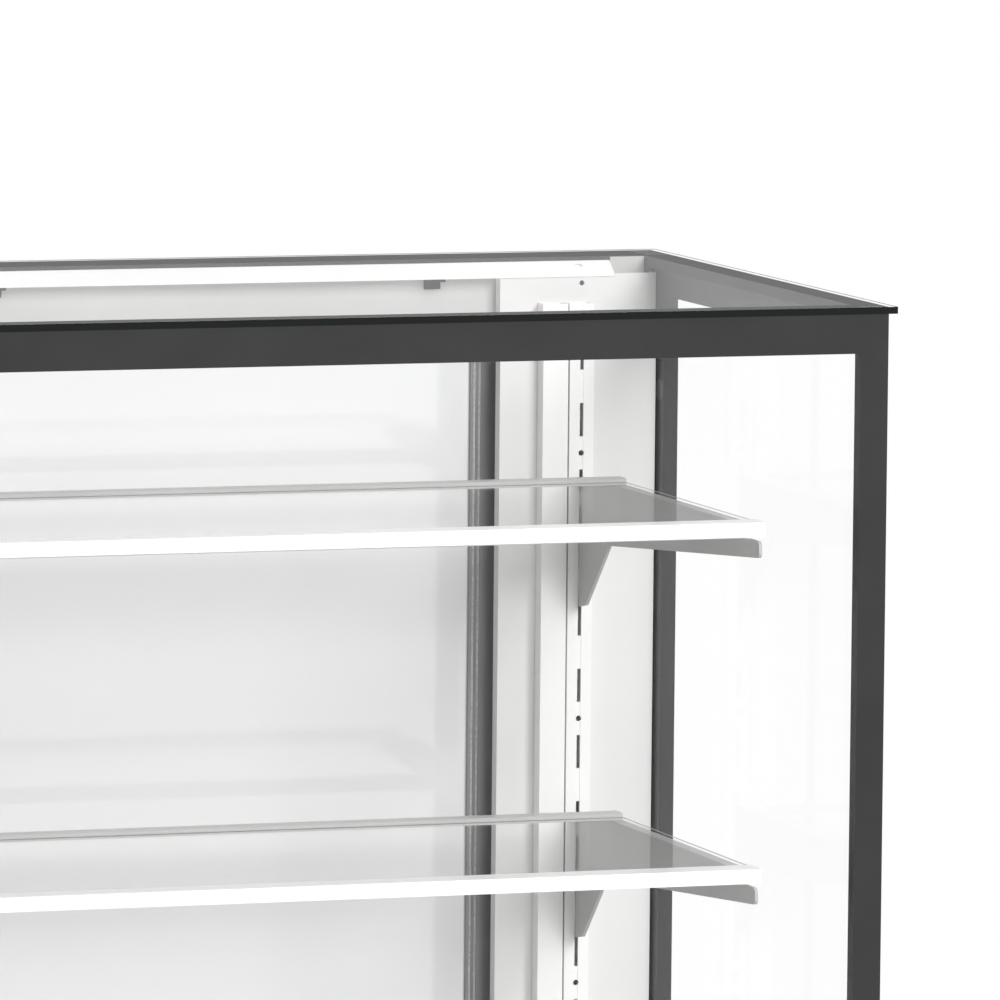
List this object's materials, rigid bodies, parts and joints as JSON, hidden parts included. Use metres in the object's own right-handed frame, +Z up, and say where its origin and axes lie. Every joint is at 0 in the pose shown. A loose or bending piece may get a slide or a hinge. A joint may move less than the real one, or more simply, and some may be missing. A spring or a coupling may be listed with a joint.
{
  "type": "display case",
  "caption": "Floor-standing glass display case with a charcoal frame, glass shelves hung on slotted uprights, a sloping light and sliding rear doors.",
  "frame": {"origin": "centre of the bounding box at floor level", "axes": "+X to the right seen from the front, +Y towards the rear doors, +Z up"},
  "size_m": [1.41, 0.515, 1.8],
  "materials": {
    "charcoal_frame": "anodised charcoal, satin",
    "clear_glass": "polished float glass",
    "white_sheet": "white powder coat",
    "white_gloss": "glossy white laminate",
    "stile_grey": "dark grey anodised, ribbed",
    "white_trim": "white coated aluminium",
    "bracket_grey": "light grey coat",
    "light_white": "white coat",
    "opal": "opal diffuser",
    "board_white": "light board",
    "dark_plastic": "moulded black",
    "steel": "zinc plated",
    "white_board": "white melamine faced board",
    "charcoal_board": "charcoal laminate faced board",
    "roller_white": "acetal"
  },
  "bodies": {
    "case": {"bottom_rail_front": "charcoal_frame", "bottom_rail_left": "charcoal_frame", "bottom_rail_right": "charcoal_frame", "brackets_left": "bracket_grey", "brackets_right": "bracket_grey", "corner_blocks": "charcoal_board", "cover_uprights": "white_sheet", "deck_panel": "white_board", "door_jamb_left": "charcoal_frame", "door_jamb_right": "charcoal_frame", "end_glass_left": "clear_glass", "end_glass_right": "clear_glass", "front_glass": "clear_glass", "front_post_left": "charcoal_frame", "front_post_right": "charcoal_frame", "light_board": "board_white", "light_clips": "dark_plastic", "light_diffuser": "opal", "light_end_caps": "light_white", "light_housing": "light_white", "pilaster_panel_left": "white_sheet", "pilaster_panel_right": "white_sheet", "plinth_end_boards": "charcoal_board", "plinth_long_boards": "charcoal_board", "post_bolts": "steel", "rear_bottom_track": "charcoal_frame", "rear_fillers": "white_board", "rear_post_left": "charcoal_frame", "rear_post_right": "charcoal_frame", "rear_top_track": "charcoal_frame", "shelf_front_trims": "white_trim", "shelf_glass_1": "clear_glass", "shelf_glass_2": "clear_glass", "shelf_glass_3": "clear_glass", "shelf_glass_4": "clear_glass", "shelf_glass_5": "clear_glass", "shelf_glass_6": "clear_glass", "shelf_rear_trims": "white_trim", "slotted_upright_left": "white_sheet", "slotted_upright_right": "white_sheet", "top_glass": "clear_glass", "top_rail_front": "charcoal_frame", "top_rail_left": "charcoal_frame", "top_rail_right": "charcoal_frame", "upright_rivets": "steel"},
    "door_right": {"door_carriers_right": "dark_plastic", "door_panel_right": "white_gloss", "door_stiles_right": "stile_grey"},
    "roller_right_a": {"door_roller_right_a": "roller_white"},
    "roller_right_b": {"door_roller_right_b": "roller_white"},
    "door_left": {"door_carriers_left": "dark_plastic", "door_panel_left": "white_gloss", "door_stiles_left": "stile_grey"},
    "roller_left_a": {"door_roller_left_a": "roller_white"},
    "roller_left_b": {"door_roller_left_b": "roller_white"},
    "foot_front_left": {"foot_front_left": "dark_plastic"},
    "foot_front_right": {"foot_front_right": "dark_plastic"},
    "foot_rear_left": {"foot_rear_left": "dark_plastic"},
    "foot_rear_right": {"foot_rear_right": "dark_plastic"}
  },
  "joints": [
    {"name": "door_right_slide", "type": "slide", "parent": "case", "child": "door_right", "axis": [-1, 0, 0], "range_m": [0, 0.53]},
    {"name": "roller_right_a_spin", "type": "hinge", "parent": "door_right", "child": "roller_right_a", "pos_m": [0.065, 0.2245, 0.1373], "axis": [0, 1, 0], "range_deg": [-3400, 0]},
    {"name": "roller_right_b_spin", "type": "hinge", "parent": "door_right", "child": "roller_right_b", "pos_m": [0.487, 0.2245, 0.1373], "axis": [0, 1, 0], "range_deg": [-3400, 0]},
    {"name": "door_left_slide", "type": "slide", "parent": "case", "child": "door_left", "axis": [1, 0, 0], "range_m": [0, 0.53]},
    {"name": "roller_left_a_spin", "type": "hinge", "parent": "door_left", "child": "roller_left_a", "pos_m": [-0.487, 0.2385, 0.1373], "axis": [0, 1, 0], "range_deg": [0, 3400]},
    {"name": "roller_left_b_spin", "type": "hinge", "parent": "door_left", "child": "roller_left_b", "pos_m": [-0.065, 0.2385, 0.1373], "axis": [0, 1, 0], "range_deg": [0, 3400]},
    {"name": "foot_front_left_screw", "type": "slide", "parent": "case", "child": "foot_front_left", "axis": [0, 0, 1], "range_m": [-0.015, 0]},
    {"name": "foot_front_right_screw", "type": "slide", "parent": "case", "child": "foot_front_right", "axis": [0, 0, 1], "range_m": [-0.015, 0]},
    {"name": "foot_rear_left_screw", "type": "slide", "parent": "case", "child": "foot_rear_left", "axis": [0, 0, 1], "range_m": [-0.015, 0]},
    {"name": "foot_rear_right_screw", "type": "slide", "parent": "case", "child": "foot_rear_right", "axis": [0, 0, 1], "range_m": [-0.015, 0]}
  ],
  "couplings": [
    {"joint": "roller_right_a_spin", "follows": "door_right_slide", "rad_per_m": -111.11},
    {"joint": "roller_right_b_spin", "follows": "door_right_slide", "rad_per_m": -111.11},
    {"joint": "roller_left_a_spin", "follows": "door_left_slide", "rad_per_m": 111.11},
    {"joint": "roller_left_b_spin", "follows": "door_left_slide", "rad_per_m": 111.11}
  ]
}
